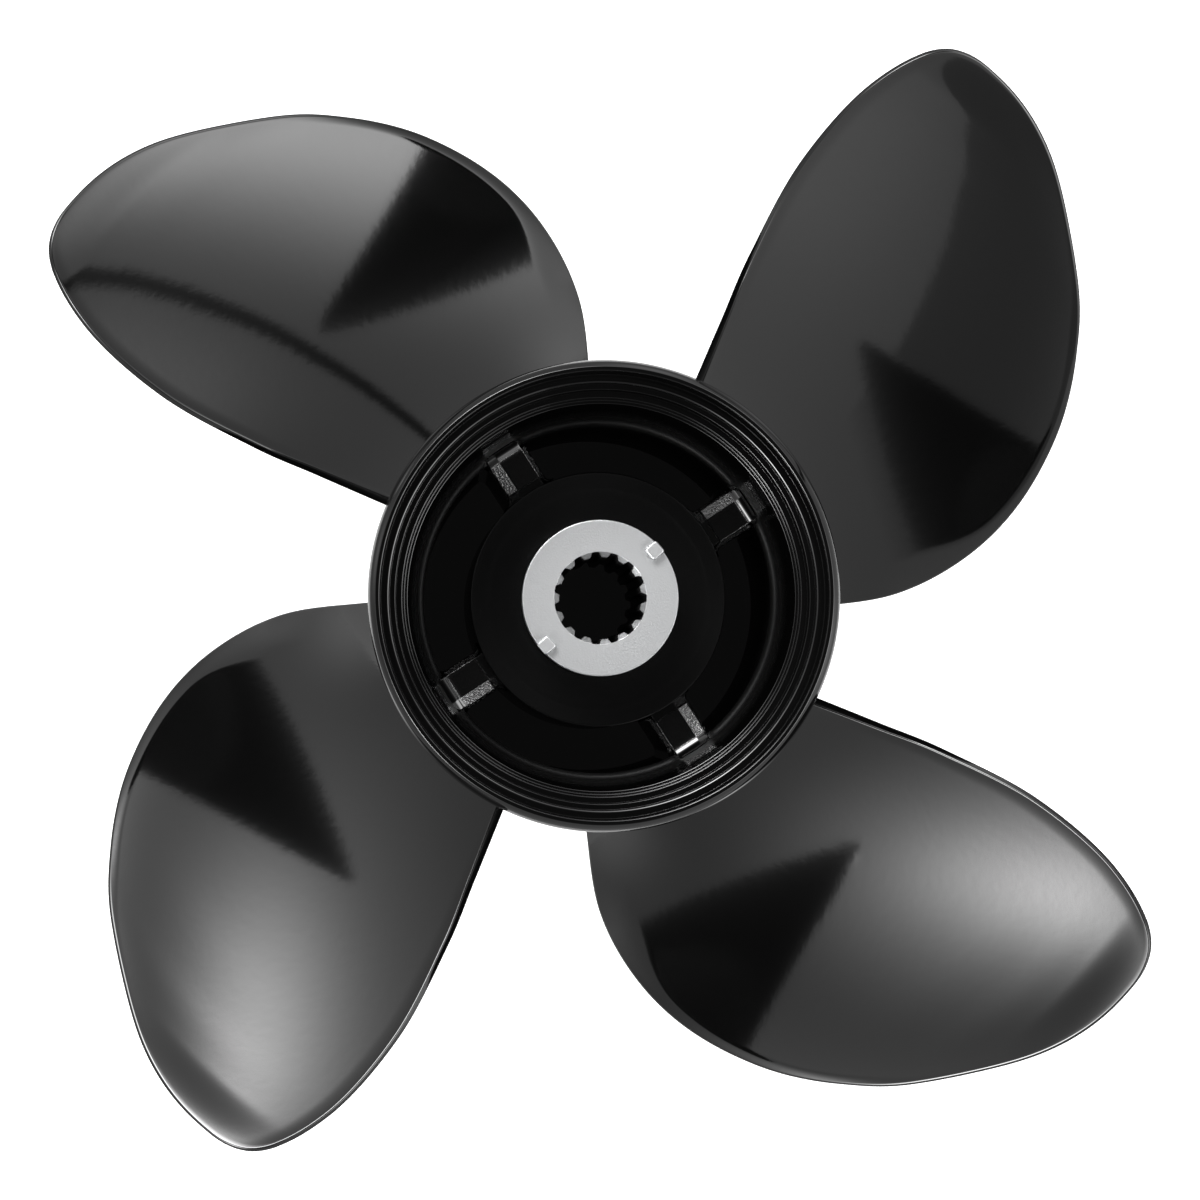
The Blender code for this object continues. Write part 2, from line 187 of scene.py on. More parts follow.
def turned(outline, columns):
    """Points of a closed outline of (radius, height) turned once round the axis."""
    angle = np.linspace(0, TURN, columns, endpoint=False)[None, :]
    radius, height = outline[:, :1], outline[:, 1:]
    return np.stack([radius * np.cos(angle), radius * np.sin(angle), height + 0 * angle], axis=-1)


# Casting: barrel, inner hub and ribs

def barrel_radius(height):
    """Outer radius of the barrel: both the taper at the front and the flare aft are parabolas."""
    below = np.clip((FLARE_START - height) / FLARE_START, 0, None)
    above = np.clip((height - FLARE_START) / (HUB_LENGTH - RIM_ROUND_DEPTH - FLARE_START), 0, None)
    taper = (FRONT_RADIUS - WAIST_RADIUS) * below ** 2
    flare = (RIM_RADIUS - WAIST_RADIUS) * above ** 2
    return WAIST_RADIUS + taper + flare


BARREL_COLUMNS = 240
BARREL_HEIGHTS = 20
PAD_SHIFT = 1.0 * DEG
PAD_HEIGHT = 0.9
LIP_RADIUS = 51.2


def off_rib(angle):
    """Signed angle to the nearest rib."""
    return (angle - RIB_ANGLE + QUARTER / 2) % QUARTER - QUARTER / 2


def make_barrel(material):
    """Thin trumpet wall: a closed outline turned round the axis, with four low pads pressed out of the cone
    inside. A pad is the product of a rounded window in angle and one in height. The lip of the passages is
    pushed out to the cone's radius behind each rib's block."""
    heights = np.linspace(HUB_LENGTH - RIM_ROUND_DEPTH, 1.5, BARREL_HEIGHTS)
    rim = [(61.15, 0.0, 0.35), (62.35, 0.0, 0.15), (63.2, 0.95, 0.5), (63.9, 2.1, 0.7), (64.4, 4.2, 1.0)]
    outside = [(radius, HUB_LENGTH - depth, cut) for radius, depth, cut in rim]
    outside += list(zip(barrel_radius(heights), heights, 0 * heights + 4.0))
    front = [(FRONT_RADIUS - 1.2, 0.0, 0.5), (54.0, 0.0, 0.5), (54.0, 8.0, 0.6), (PASSAGE_RADIUS, 10.5, 1.5)]
    # radius, depth below the aft rim and cut, from the passages to the rim's inner step
    steps = [
        (PASSAGE_RADIUS, 68.0, 2.0), (49.3, 62.5, 2.0), (49.3, 58.4, 1.2), (51.3, 56.8, 1.3),
        (53.7, 26.0, 0.3), (54.5, 26.0, 0.04), (54.53, 25.2, 0.28), (55.2, 25.2, 0.04),
        (55.23, 24.4, 0.3), (57.0, 24.4, 0.04), (57.08, 17.1, 0.22), (58.6, 17.1, 0.04),
        (58.66, 13.7, 0.8), (61.0, 13.7, 0.05),
    ]
    inside = [(radius, HUB_LENGTH - depth, cut) for radius, depth, cut in steps]
    outline = resampled(rounded(outside + front + inside, 6), 2.5)
    grid = turned(outline, BARREL_COLUMNS)
    angle = np.linspace(0, TURN, BARREL_COLUMNS, endpoint=False)[None, :]
    radius, depth = outline[:, :1], HUB_LENGTH - outline[:, 1:]
    across = 1 - smooth_step(5.2 * DEG, 7.2 * DEG, np.abs(off_rib(angle - PAD_SHIFT)))
    along = smooth_step(26.5, 30.0, depth) * (1 - smooth_step(52.5, 54.5, depth))
    on_cone = (radius < 54.2) & (depth < 60)
    scale = 1 - PAD_HEIGHT * across * along * on_cone / radius
    grid[..., :2] *= scale[..., None]
    notch = 1 - smooth_step(5.4 * DEG, 7.6 * DEG, np.abs(off_rib(angle)))
    on_lip = (radius < LIP_RADIUS) & (depth > 56) & (depth < 61)
    grid[..., :2] *= (1 + notch * on_lip * (LIP_RADIUS / radius - 1))[..., None]
    make_piece("hub_casting_barrel", [(grid, True, True)], material, ["hub_barrel"])


def make_inner_hub(material):
    """Slightly conical tube with a rounded edge aft: a closed outline turned round the axis."""
    outline = rounded([
        (INNER_HUB_FACE_RADIUS, INNER_HUB_TOP, 0.45), (INNER_HUB_RADIUS, 17.0, 0.5),
        (INNER_HUB_RADIUS - 1, 16.0, 0.5),
        (INNER_HUB_BORE, 16.0, 0.5), (INNER_HUB_BORE, INNER_HUB_TOP, 0.03),
    ])
    grid = turned(resampled(outline, 4.0), 240)
    make_piece("hub_casting_tube", [(grid, True, True)], material, ["inner_hub"])


def make_ribs(material):
    """Web from the inner hub to the barrel with a low block on its aft end. The cross-section is a closed
    outline of (width, height). Towards both ends the web under the block swells by a quarter circle, and
    it rises to the passage's lip at the barrel. The block's flat top turns up by 28 degrees at its outer
    end, and it drops 1.5 mm just before the inner hub. Each end is shut by a fan to its middle point."""
    half = 5.3
    section = rounded([
        (half + 0.7, RIB_BOTTOM, 1.5), (half + 0.7, RIB_TOP - 4.4, 0.9), (half + 0.02, RIB_TOP - 3.8, 0.1),
        (half, RIB_TOP - 0.95, 0.35), (half - 3.1, RIB_TOP, 0.2), (-half + 0.1, RIB_TOP, 0.3),
        (-half, RIB_TOP - 0.6, 0.3), (-half - 0.02, RIB_TOP - 2.8, 0.1), (-half - 1.3, RIB_TOP - 3.2, 0.7),
        (-half - 1.5, RIB_BOTTOM, 1.5),
    ], 6)
    section = resampled(section, 2.0)
    shelf = (np.abs(section[:, 0]) > half + 0.1).astype(float)
    low, high = INNER_HUB_FACE_RADIUS - 0.2, PASSAGE_RADIUS + 0.5
    fillet_in, fillet_out = 2.0, 4.6
    drop, lip_rise, tan_turn_up = 1.5, 5.8, 0.53
    bend = np.linspace(0, math.pi / 2, 9)
    inner_end = [38.1, 38.25, 38.4, 38.55]
    straight = np.concatenate([inner_end, np.linspace(38.7, high - fillet_out, 8)[:-1]])
    reach = np.concatenate([
        low + fillet_in * (1 - np.cos(bend)), straight, (high - fillet_out * (1 - np.cos(bend)))[::-1]])
    swell_out = (1 - np.sin(bend))[::-1]
    swell = np.concatenate([fillet_in * (1 - np.sin(bend)), 0 * straight, fillet_out * swell_out])
    rise = np.concatenate([0 * bend, 0 * straight, lip_rise * swell_out])
    across = section[None, :, 0] + np.sign(section[None, :, 0]) * shelf * swell[:, None]
    on_shelf = shelf * (section[:, 1] > RIB_TOP - 12)
    turned_up = tan_turn_up * np.clip(reach - 47.9, 0, 1.4)[:, None] * (1 - shelf)[None, :]
    on_block = (1 - shelf) * (section[:, 1] > RIB_TOP - 3)
    sunk = drop * (1 - smooth_step(inner_end[0], inner_end[-1], reach))[:, None] * on_block[None, :]
    height = section[None, :, 1] + rise[:, None] * on_shelf[None, :] + turned_up - sunk
    grid = np.stack([np.broadcast_to(reach[:, None], across.shape), across, height], axis=-1)
    caps = [np.stack([grid[end], 0 * grid[end] + grid[end].mean(axis=0)]) for end in (0, -1)]
    for number in range(BLADES):
        turn = turn_about_axis(RIB_ANGLE + number * QUARTER)
        grids = [(grid @ turn, False, True)] + [(cap @ turn, False, True) for cap in caps]
        make_piece(f"hub_casting_rib_{number + 1}", grids, material, [f"rib_{number + 1}"])


# Blades

# Silhouette seen from aft, as angle in degrees and radius: trailing edge from the hub to the tip, then back
# down the leading edge.
BLADE_OUTLINE = (
    (65.8, 52.0), (66.2, 69.0), (66.4, 87.0), (66.5, 106.5), (65.4, 135.0), (62.3, 162.5),
    (57.9, 181.0), (51.8, 184.15), (44.2, 179.4), (33.8, 166.8), (27.0, 157.0), (20.0, 145.3),
    (12.8, 130.0), (6.8, 113.3), (1.7, 93.0), (-0.8, 69.0), (-1.8, 52.0),
)
BLADE_ANGLE = 33.0 * DEG
TIP_DROP = 57.8
RAKE = 0.38
ROOT_THICKNESS = 13.0
TIP_THICKNESS = 3.0
HOLLOW = 0.041
HOLLOW_TO_TRAILING_EDGE = 0.123
HOLLOW_TO_TIP = 0.079
HOLLOW_TO_BOTH = -0.071
TIP_ANGLE = 51.8 * DEG
BLADE_MIDDLE = np.array([100.0, 75.0])
CUP_HEIGHT = 0.8
CUP_WIDTH = 6.0
CUP_FULL_CHORD = 60.0
ROLL_DROP = 1.9
ROOT_FILLET = 6.0
# Radii at which the sides of the face's patch end and its top side, over the tip, starts
LEADING_CORNER = 158
TRAILING_CORNER = 163


def smooth_outline():
    """The silhouette's points joined by a Catmull-Rom curve in plan, as an array of x and y."""
    table = np.array(BLADE_OUTLINE)
    angle, radius = table[:, 0] * DEG, table[:, 1]
    plan = np.stack([radius * np.cos(angle), radius * np.sin(angle)], axis=1)
    padded = np.vstack([2 * plan[0] - plan[1], plan, 2 * plan[-1] - plan[-2]])
    a, b, c, d = (padded[i:len(padded) - 3 + i, None] for i in range(4))
    t = np.linspace(0, 1, 60, endpoint=False)[None, :, None]
    curve = b + 0.5 * ((c - a) * t + (2 * a - 5 * b + 4 * c - d) * t ** 2 + (3 * b - a - 3 * c + d) * t ** 3)
    curve = curve.reshape(-1, 2)
    return curve * (TIP_RADIUS - 0.15) / np.linalg.norm(curve, axis=1).max()


def edge_angles(plan):
    """Leading and trailing edge angle as tables over radius, from an outline in plan."""
    radius = np.linalg.norm(plan, axis=1)
    angle = np.arctan2(plan[:, 1], plan[:, 0])
    tip = int(np.argmax(radius))
    return (radius[:tip], angle[:tip]), (radius[:tip:-1], angle[:tip:-1])


SILHOUETTE = smooth_outline()
TRAILING, LEADING = edge_angles(SILHOUETTE)


def face_height(x, y):
    """Pressure face: a helicoid with a straight generator that leans aft towards the tip. With s running
    from 0 at the leading edge to 1 at the trailing edge, a hollow of s (1 - s) times a slope that changes
    along and across the blade goes down into it, and a parabolic cup lifts the last millimetres. The leading
    edge is rolled off: the face drops there by the 1.7th power of the way into a band that is widest near
    the hub."""
    radius = np.hypot(x, y)
    angle = np.arctan2(y, x)
    generator = HUB_LENGTH - TIP_DROP + RAKE * (radius - TIP_RADIUS)
    steep = np.hypot(1, PITCH / (TURN * radius))
    trailing = np.interp(radius, *TRAILING)
    leading = np.interp(radius, *LEADING)
    chord = (trailing - leading) * radius * steep
    share = np.clip((angle - leading) / np.maximum(trailing - leading, 1e-3), -0.05, 1.05)
    outward = (radius - 120) / 60
    slope = HOLLOW + HOLLOW_TO_TRAILING_EDGE * share + outward * (HOLLOW_TO_TIP + HOLLOW_TO_BOTH * share)
    slope = slope * (1 - smooth_step(171, TIP_RADIUS, radius))
    hollow = (trailing - leading) * radius * share * (1 - share) * slope
    from_edge = (trailing - angle) * radius * steep
    cup_share = np.minimum(1, (chord / CUP_FULL_CHORD) ** 2)
    cup = CUP_HEIGHT * cup_share * np.clip(1 - from_edge / CUP_WIDTH, 0, 1) ** 2
    band = 13 - 6 * smooth_step(98, 122, radius)
    drop = ROLL_DROP * smooth_step(82, 98, radius) * (1 - smooth_step(138, 176, radius))
    roll = drop * np.clip(1 - (angle - leading) * radius * steep / band, 0, 1) ** 1.7
    return generator + PITCH * (angle - BLADE_ANGLE) / TURN - hollow + cup - roll


def on_face(plan):
    return np.concatenate([plan, face_height(plan[..., 0], plan[..., 1])[..., None]], axis=-1)


def face_normal(plan):
    """Unit normal of the pressure face, from its slopes over 0.2 mm."""
    x, y = plan[..., 0], plan[..., 1]
    step = 0.1
    slope_x = (face_height(x + step, y) - face_height(x - step, y)) / (2 * step)
    slope_y = (face_height(x, y + step) - face_height(x, y - step)) / (2 * step)
    return unit(np.stack([-slope_x, -slope_y, np.ones_like(x)], axis=-1))


def edge_thickness(plan):
    """Blunt towards the trailing edge at the root, thin at the leading edge and round the tip."""
    radius = np.linalg.norm(plan, axis=-1)
    angle = np.arctan2(plan[..., 1], plan[..., 0])
    fullness = np.clip((TIP_RADIUS - radius) / (TIP_RADIUS - WAIST_RADIUS), 0, 1)
    middle = (np.interp(radius, *TRAILING) + np.interp(radius, *LEADING)) / 2
    half = np.maximum((np.interp(radius, *TRAILING) - np.interp(radius, *LEADING)) / 2, 0.02)
    share = smooth_step(-1, 1, (angle - middle) / half)
    return 1.8 + 1.6 * fullness ** 2 * share


def corner_radius(plan, thickness):
    """Half the thickness at the leading edge, which is a full round, and 0.45 mm at the trailing edge."""
    radius = np.linalg.norm(plan, axis=-1)
    angle = np.arctan2(plan[..., 1], plan[..., 0])
    leading_side = 1 - smooth_step(-6 * DEG, 4 * DEG, angle - TIP_ANGLE)
    share = np.where(radius > 150, leading_side, (angle < 33 * DEG).astype(float))
    return 0.45 + (0.49 * thickness - 0.45) * share


def pressure_edge():
    """The edge of the pressure face in plan. Where the blunt edge behind it leans out past it, the
    silhouette is the back's, so the pressure face stops short by that much."""
    along = unit(np.gradient(SILHOUETTE, axis=0))
    outward = np.stack([along[:, 1], -along[:, 0]], axis=1)
    outward *= np.sign(((SILHOUETTE - BLADE_MIDDLE) * outward).sum())
    lean = -(face_normal(SILHOUETTE)[:, :2] * outward).sum(axis=1) * edge_thickness(SILHOUETTE)
    return SILHOUETTE - outward * np.maximum(lean, 0)[:, None], outward


def patch_border():
    """The pressure edge drawn in by the corner's radius, measured along the face."""
    edge, outward = pressure_edge()
    normal = face_normal(edge)
    along = unit(np.gradient(on_face(edge), axis=0))
    side = unit(np.cross(along, normal))
    side *= np.sign((side[:, :2] * outward).sum(axis=1))[:, None]
    radius = corner_radius(edge, edge_thickness(edge))
    return edge - side[:, :2] * radius[:, None]


def crowded(count):
    """Numbers from 0 to 1, t - 0.7 sin(2 pi t) / 2 pi, which lie closer together towards both ends."""
    t = np.linspace(0, 1, count)
    return t - 0.7 * np.sin(TURN * t) / TURN


def root_row(border, rounds, height_above, columns):
    """Plan points across the blade a set height above the barrel, from leading to trailing edge. Each round
    brings the radius nearer to the barrel's at the height of the face there."""
    (trail_radius, trail_angle), (lead_radius, lead_angle) = border
    share = crowded(columns)
    radius = np.full(columns, WAIST_RADIUS + height_above)
    for _ in range(rounds):
        lead = np.interp(radius, lead_radius, lead_angle)
        trail = np.interp(radius, trail_radius, trail_angle)
        angle = lead + (trail - lead) * share
        plan = np.stack([radius * np.cos(angle), radius * np.sin(angle)], axis=1)
        radius = barrel_radius(face_height(plan[:, 0], plan[:, 1])) + height_above
    return plan


def edge_profile(plan, normal, side, steps=6):
    """Points round the blade's edge: a quarter circle off the face, a straight side, and a quarter circle
    on to the back. One row for each border point."""
    thickness = edge_thickness(plan)
    radius = corner_radius(plan, thickness)
    bend = np.linspace(0, math.pi / 2, steps)
    out = np.concatenate([np.sin(bend), np.cos(bend)])[None, :, None] * radius[:, None, None]
    down_first = (1 - np.cos(bend))[None] * radius[:, None]
    down_last = thickness[:, None] - (1 - np.sin(bend))[None] * radius[:, None]
    down = np.concatenate([down_first, down_last], axis=1)[..., None]
    base = on_face(plan)[:, None]
    return base + side[:, None] * out - normal[:, None] * down


def body_thickness(plan, across, along):
    """Edge thickness plus a bulge that is a parabola across the blade and dies out at the tip."""
    radius = np.linalg.norm(plan, axis=-1)
    fullness = np.clip((TIP_RADIUS - radius) / (TIP_RADIUS - WAIST_RADIUS), 0, 1)
    middle = TIP_THICKNESS + (ROOT_THICKNESS - TIP_THICKNESS) * fullness
    edge = edge_thickness(plan)
    bulge = (4 * across * (1 - across)) ** 0.9 * (1 - along ** 5)
    return edge + np.maximum(middle - edge, 0) * bulge


def coons(left, right, bottom, top):
    """Plan points of a four-sided patch: the two lofts between opposite sides, less the bilinear sheet
    through its corners."""
    v = np.linspace(0, 1, len(left))[:, None, None]
    u = crowded(len(bottom))[None, :, None]
    lofts = (1 - u) * left[:, None] + u * right[:, None] + (1 - v) * bottom[None] + v * top[None]
    sheet = (1 - u) * (1 - v) * bottom[0] + u * (1 - v) * bottom[-1] + (1 - u) * v * top[0] + u * v * top[-1]
    return lofts - sheet


def polar(plan):
    """Radius and angle of points in plan."""
    return np.stack([np.linalg.norm(plan, axis=-1), np.arctan2(plan[..., 1], plan[..., 0])], axis=-1)


def from_polar(points):
    """Points in plan of radius and angle."""
    radius, angle = points[..., 0], points[..., 1]
    return np.stack([radius * np.cos(angle), radius * np.sin(angle)], axis=-1)


def on_length(curve, share):
    """Points at those shares of the length of a curve in plan."""
    run = np.concatenate([[0], np.cumsum(np.linalg.norm(np.diff(curve, axis=0), axis=1))])
    at = share * run[-1]
    return np.stack([np.interp(at, run, curve[:, axis]) for axis in (0, 1)], axis=1)


def make_blades(material):
    """Pressure face over a four-sided patch in plan, back set off along its normal, rounded edge strip,
    and a fillet that swells by a quarter circle on to the barrel."""
    columns, rows = 96, 110
    root_rounds = 6
    border = patch_border()
    tables = edge_angles(border)
    reach = np.linalg.norm(border, axis=1)
    tip = int(np.argmax(reach))
    bottom = root_row(tables, root_rounds, ROOT_FILLET, columns)
    trail = border[:tip][reach[:tip] > np.linalg.norm(bottom[-1]) + 0.05]
    lead = border[tip:][::-1]
    lead = lead[np.linalg.norm(lead, axis=1) > np.linalg.norm(bottom[0]) + 0.05]
    lead_split = int(np.argmax(np.linalg.norm(lead, axis=1) > LEADING_CORNER))
    trail_split = int(np.argmax(np.linalg.norm(trail, axis=1) > TRAILING_CORNER))
    even = np.linspace(0, 1, rows)
    left = on_length(np.vstack([bottom[:1], lead[:lead_split]]), even)
    right = on_length(np.vstack([bottom[-1:], trail[:trail_split]]), even)
    over = np.vstack([lead[lead_split - 1:], trail[:trail_split - 1:-1], trail[trail_split - 1:trail_split]])
    top = on_length(over, crowded(columns))
    plan = from_polar(coons(polar(left), polar(right), polar(bottom), polar(top)))
    plan[:, 0], plan[:, -1], plan[0], plan[-1] = left, right, bottom, top
    across = crowded(columns)[None, :]
    along = np.linspace(0, 1, rows)[:, None]
    normal = face_normal(plan)
    front = on_face(plan)
    back = front - normal * body_thickness(plan, across, along)[..., None]
    path = np.vstack([left, top[1:], right[::-1][1:]])
    path_normal = face_normal(path)
    run = unit(np.gradient(on_face(path), axis=0))
    side = unit(np.cross(run, path_normal))
    outward = np.sign(((path - BLADE_MIDDLE) * side[:, :2]).sum())
    strip = edge_profile(path, path_normal, side * outward)
    strip[:, 0] = on_face(path)
    strip[:, -1] = on_face(path) - path_normal * edge_thickness(path)[:, None]

    def section(height_above):
        """Closed ring of the blade's section at that height above the barrel."""
        row = root_row(tables, root_rounds, height_above, columns)
        row_normal = face_normal(row)
        lower = on_face(row) - row_normal * body_thickness(row, across[0], 0)[:, None]
        ends = np.stack([row[0], row[-1]])
        end_normal = face_normal(ends)
        flow = unit(on_face(row)[[0, -1]] * [1, 1, 0])
        end_side = unit(np.cross(flow, end_normal))
        end_side *= np.sign((end_side[:, :2] * (ends - ends[::-1])).sum(axis=1))[:, None]
        ends_strip = edge_profile(ends, end_normal, end_side)
        if height_above > 0.999 * ROOT_FILLET:
            ends_strip = strip[[0, -1]]
        return np.concatenate([on_face(row), ends_strip[1, 1:-1], lower[::-1], ends_strip[0, 1:-1][::-1]])

    bends = np.linspace(math.pi / 2, 0, 12)
    rings = []
    for bend in bends:
        height_above = ROOT_FILLET * (1 - math.cos(bend))
        ring = section(height_above)
        radius = np.hypot(ring[:, 0], ring[:, 1])
        unrolled = np.stack([np.unwrap(np.arctan2(ring[:, 1], ring[:, 0])) * radius, ring[:, 2]], axis=1)
        ahead = np.roll(unrolled, -2, axis=0) - np.roll(unrolled, 2, axis=0)
        outside = unit(np.stack([ahead[:, 1], -ahead[:, 0]], axis=1))
        outside *= np.sign(((unrolled - unrolled.mean(axis=0)) * outside).sum())
        moved = unrolled + outside * ROOT_FILLET * (1 - math.sin(bend))
        angle = moved[:, 0] / radius
        if bend < bends[0]:
            radius = barrel_radius(moved[:, 1]) + height_above - 0.03
        rings.append(np.stack([radius * np.cos(angle), radius * np.sin(angle), moved[:, 1]], axis=1))
    last = rings[-1]
    inner = np.hypot(last[:, 0], last[:, 1]) - 1.2
    sunk = np.concatenate([unit(last[:, :2]) * inner[:, None], last[:, 2:]], axis=1)
    around_edge = strip.shape[1] - 2
    partner = (2 * columns + around_edge - 1 - np.arange(len(last))) % len(last)
    shut = (sunk + sunk[partner]) / 2
    fillet = np.stack(rings + [sunk, shut])
    for number in range(BLADES):
        turn = turn_about_axis(number * QUARTER)
        grids = [(front @ turn, False, False), (back @ turn, False, False)]
        grids += [(strip @ turn, False, False), (fillet @ turn, False, True)]
        make_piece(f"cast_blade_{number + 1}", grids, material, [f"blade_{number + 1}"], 40)


# Bush and splined sleeve

def make_bush(material):
    """Rubber ring, moulded flush with the inner hub's face: a closed outline turned round the axis."""
    outline = rounded([
        (INNER_HUB_BORE + 0.05, INNER_HUB_TOP, 0.03), (INNER_HUB_BORE + 0.05, 26.0, 1.0),
        (SLEEVE_RADIUS - 0.05, 26.0, 1.0), (SLEEVE_RADIUS - 0.05, INNER_HUB_TOP, 0.3),
    ])
    grid = turned(resampled(outline, 4.0), 180)
    make_piece("rubber_bush_ring", [(grid, True, True)], material, ["rubber_bush"])


def bore_radius(angle):
    """Internal spline: one tooth at 180 degrees, each a smooth step from the root to the tip circle."""
    spacing = TURN / SPLINE_TEETH
    off_tooth = np.abs((angle - math.pi + spacing / 2) % spacing - spacing / 2)
    return SPLINE_TIP + TOOTH_HEIGHT * smooth_step(3.6 * DEG, 8.6 * DEG, off_tooth)


def make_sleeve(material):
    """Splined sleeve: each ring of points has a radius set by angle. The tooth ends are cut back by a cone
    that starts at the root circle on the face."""
    angle = np.linspace(0, TURN, SPLINE_TEETH * 28, endpoint=False)[None, :]
    bore = bore_radius(angle)
    round_rows = 0 * angle
    outside = [
        (12.98, SLEEVE_TOP), (13.2, SLEEVE_TOP), (17.0, SLEEVE_TOP), (COLLAR_RADIUS - 0.5, SLEEVE_TOP),
        (COLLAR_RADIUS - 0.25, SLEEVE_TOP), (COLLAR_RADIUS - 0.18, SLEEVE_TOP - 0.02),
        (COLLAR_RADIUS - 0.05, SLEEVE_TOP - 0.1), (COLLAR_RADIUS, SLEEVE_TOP - 0.25),
        (COLLAR_RADIUS, SLEEVE_TOP - 8.0), (COLLAR_RADIUS, SLEEVE_TOP - 14.6),
        (COLLAR_RADIUS - 0.4, SLEEVE_TOP - 15.0), (SLEEVE_RADIUS + 0.3, SLEEVE_TOP - 15.0),
        (SLEEVE_RADIUS, SLEEVE_TOP - 15.3), (SLEEVE_RADIUS, SLEEVE_BOTTOM + 0.5),
        (SLEEVE_RADIUS - 0.5, SLEEVE_BOTTOM), (13.02, SLEEVE_BOTTOM),
    ]
    depths = np.concatenate([np.linspace(0.03, 1.6, 10), np.linspace(3, 110, 24)])
    depths = np.concatenate([depths, SLEEVE_TOP - SLEEVE_BOTTOM - np.linspace(1.6, 0.03, 6)])
    from_end = np.minimum(depths, SLEEVE_TOP - SLEEVE_BOTTOM - depths)
    rows = [(radius + round_rows, height + round_rows) for radius, height in outside]
    rows += [
        (np.maximum(bore, 12.96 - near), SLEEVE_TOP - depth + round_rows)
        for near, depth in zip(from_end[::-1], depths[::-1])
    ]
    radius = np.concatenate([row for row, _ in rows])
    height = np.concatenate([row for _, row in rows])
    grid = np.stack([radius * np.cos(angle), radius * np.sin(angle), height], axis=-1)
    make_piece("spline_sleeve_machined", [(grid, True, True)], material, ["spline_sleeve"], 28)


def make_lugs(material):
    """Two square lugs: rounded squares of growing size, stacked from the flat top down the side."""
    around = np.linspace(0, TURN, 64, endpoint=False)
    square = (np.abs(np.cos(around)) ** 7 + np.abs(np.sin(around)) ** 7) ** (-1 / 7)
    outline = np.stack([square * np.cos(around), square * np.sin(around)], axis=1)
    bend = np.linspace(0, math.pi / 2, 6)
    size = np.concatenate([[0.0, 0.8, 1.3], 2.05 - 0.45 * (1 - np.sin(bend)), [2.05, 2.05, 0.0]])
    level = np.concatenate([[2.45, 2.45, 2.45], 2.45 - 0.45 * (1 - np.cos(bend)), [1.0, -0.6, -0.6]])
    for number, angle in enumerate(LUG_ANGLES, start=1):
        local = outline[None] * size[:, None, None] + np.array([LUG_RADIUS, 0.0])
        x = local[..., 0] * math.cos(angle) - local[..., 1] * math.sin(angle)
        y = local[..., 0] * math.sin(angle) + local[..., 1] * math.cos(angle)
        z = SLEEVE_TOP + np.broadcast_to(level[:, None], x.shape)
        grid = np.stack([x, y, z], axis=-1)
        name, replaced = f"washer_lug_{number}", [f"lock_lug_{number}"]
        make_piece(name, [(grid, False, True)], material, replaced, 50)


# Materials

def add_node(tree, kind, inputs, **settings):
    """A node of that kind with its settings. Each input is another node's output, which is linked, or a
    value."""
    node = tree.nodes.new(kind)
    for name, value in settings.items():
        setattr(node, name, value)
    for name, value in inputs.items():
        if isinstance(value, bpy.types.NodeSocket):
            tree.links.new(value, node.inputs[name])
        else:
            node.inputs[name].default_value = value
    return node


def new_material(name, hex_colour, roughness, metallic=0.0, ior=1.5):
    material = bpy.data.materials.new(name)
    material.use_nodes = True
    shader = material.node_tree.nodes["Principled BSDF"]
    shader.inputs["Base Color"].default_value = linear(hex_colour)
    shader.inputs["Roughness"].default_value = roughness
    shader.inputs["Metallic"].default_value = metallic
    shader.inputs["IOR"].default_value = ior
    return material, material.node_tree, shader


def from_axis(tree, place):
    """Distance from the shaft axis, in metres."""
    flat = add_node(tree, "ShaderNodeVectorMath", {0: place, 1: (1.0, 1.0, 0.0)}, operation="MULTIPLY")
    return add_node(tree, "ShaderNodeVectorMath", {0: flat.outputs[0]}, operation="LENGTH").outputs["Value"]


def sprayed_enamel():
    """Gloss black enamel, sprayed over die-cast aluminium: a deep black with mirror-like reflections that a
    faint orange peel of about 3 mm and a fine dust grain make a little soft. Inside the hub it lies smoother,
    and deep in the exhaust passages, where the spray hardly reached, it is a dry satin."""
    material, tree, shader = new_material("gloss_black_sprayed_enamel", "030303", 0.045)
    place = add_node(tree, "ShaderNodeTexCoord", {}).outputs["Object"]
    peel = add_node(tree, "ShaderNodeTexNoise", {"Vector": place, "Scale": 1 / (3.0 * MM), "Detail": 2.0})
    grain = add_node(tree, "ShaderNodeTexNoise", {"Vector": place, "Scale": 1 / (0.7 * MM), "Detail": 1.0})
    radius = from_axis(tree, place)
    past_rim = {"Value": radius, "From Min": 64 * MM, "From Max": 68 * MM}
    amount = add_node(tree, "ShaderNodeMapRange", {**past_rim, "To Min": 0.012, "To Max": 0.03})
    amount = amount.outputs["Result"]
    coarse = add_node(
        tree, "ShaderNodeBump", {"Height": peel.outputs["Fac"], "Strength": amount, "Distance": 0.3 * MM})
    fine = add_node(
        tree, "ShaderNodeBump",
        {"Height": grain.outputs["Fac"], "Normal": coarse.outputs["Normal"], "Strength": amount,
         "Distance": 0.06 * MM})
    tree.links.new(fine.outputs["Normal"], shader.inputs["Normal"])
    dry = add_node(
        tree, "ShaderNodeMapRange",
        {"Value": radius, "From Min": 51 * MM, "From Max": 53 * MM, "To Min": 0.4, "To Max": 0.04})
    outside = add_node(tree, "ShaderNodeMapRange", {**past_rim, "To Min": 0.0, "To Max": 0.045})
    roughness = add_node(tree, "ShaderNodeMath", {0: dry.outputs["Result"], 1: outside.outputs["Result"]})
    tree.links.new(roughness.outputs[0], shader.inputs["Roughness"])
    return material


